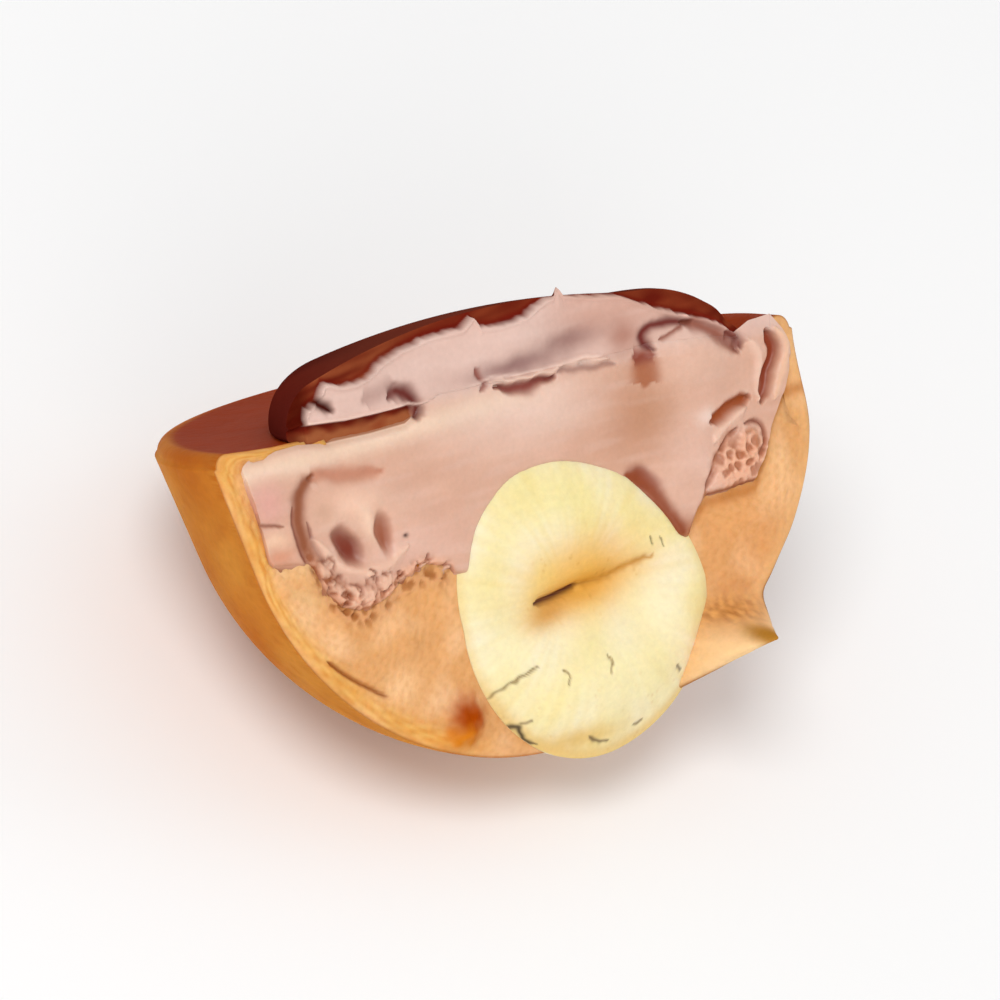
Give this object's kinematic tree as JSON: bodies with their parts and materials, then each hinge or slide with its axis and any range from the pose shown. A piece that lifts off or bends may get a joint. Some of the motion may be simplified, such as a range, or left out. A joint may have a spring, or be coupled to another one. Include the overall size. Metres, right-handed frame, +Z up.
{
  "type": "halved hazelnut toffee",
  "caption": "Half of a round toffee, cut through its caramel cup, nougat filling, whole hazelnut and chocolate drop.",
  "frame": {"origin": "centre of the flat spot on the underside of the caramel cup, on which the half rests", "axes": "+Z up; the cut faces -Y and is tilted back to look up; +X to the right as one looks at the cut"},
  "size_m": [0.0278, 0.0207, 0.0167],
  "materials": {
    "caramel": "soft satin caramel",
    "nougat": "smeared, moist",
    "nut": "matte, cut nut",
    "chocolate": "satin chocolate"
  },
  "bodies": {
    "root": {"caramel_cup": "caramel", "nougat_filling": "nougat", "hazelnut": "nut", "chocolate_drop": "chocolate"}
  },
  "joints": []
}
